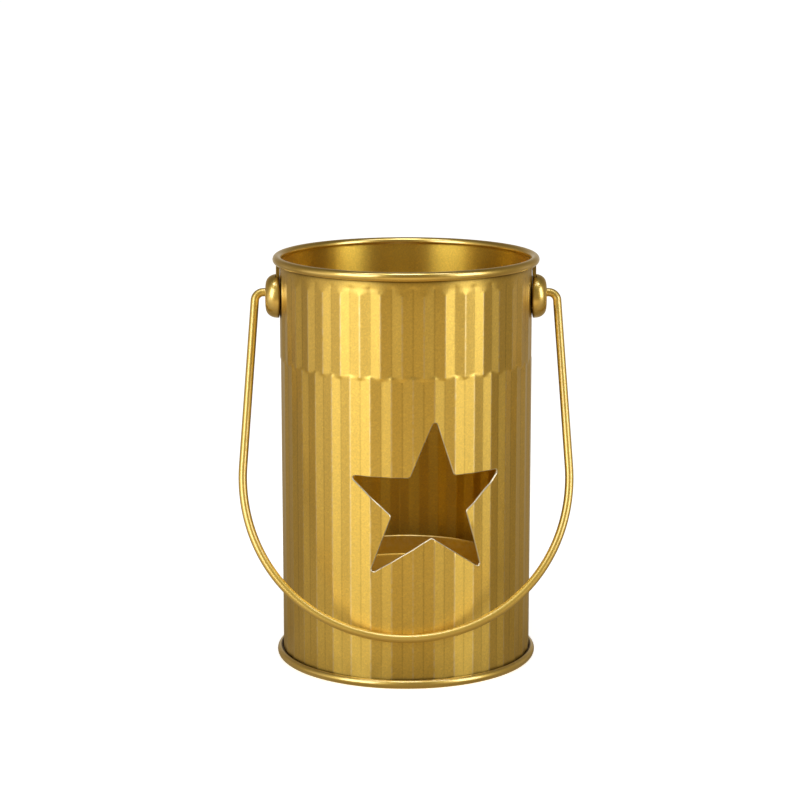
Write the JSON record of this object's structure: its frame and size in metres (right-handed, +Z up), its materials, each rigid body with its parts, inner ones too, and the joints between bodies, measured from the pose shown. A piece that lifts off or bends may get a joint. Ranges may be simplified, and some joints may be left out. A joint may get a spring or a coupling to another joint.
{
  "type": "candle lantern",
  "caption": "Round fluted sheet-metal pail lantern, open at the top, with a star window, a raised lift-out candle dish and a swinging wire bail in domed ears.",
  "frame": {"origin": "on the ground under the middle of the round body", "axes": "+Z up along the body's axis, -Y towards the side with the star, X through the two ears of the bail"},
  "size_m": [0.1308, 0.1063, 0.163],
  "materials": {
    "gold_sheet": "satin",
    "gold_base": "satin",
    "gold_ear": "satin",
    "gold_bail": "satin",
    "gold_dish": "satin",
    "steel_wire": "satin",
    "rivet": "satin"
  },
  "bodies": {
    "lantern": {"body_shell": "gold_sheet", "base_pan": "gold_base", "rim_wire": "steel_wire", "ear_plate_right": "gold_ear", "ear_plate_left": "gold_ear", "ear_dome_right": "gold_ear", "ear_dome_left": "gold_ear", "ear_rivet_right": "rivet", "ear_rivet_left": "rivet"},
    "bail": {"bail_handle": "gold_bail"},
    "candle_insert": {"candle_dish": "gold_dish", "dish_stand": "gold_dish", "dish_rivet_1": "rivet", "dish_rivet_2": "rivet", "dish_rivet_3": "rivet"}
  },
  "joints": [
    {"name": "bail_swing", "type": "hinge", "parent": "lantern", "child": "bail", "pos_m": [0, 0, 0.14757], "axis": [-1, 0, 0], "range_deg": [0, 315]},
    {"name": "insert_lift", "type": "slide", "parent": "lantern", "child": "candle_insert", "axis": [0, 0, 1], "range_m": [0, 0.165]}
  ]
}
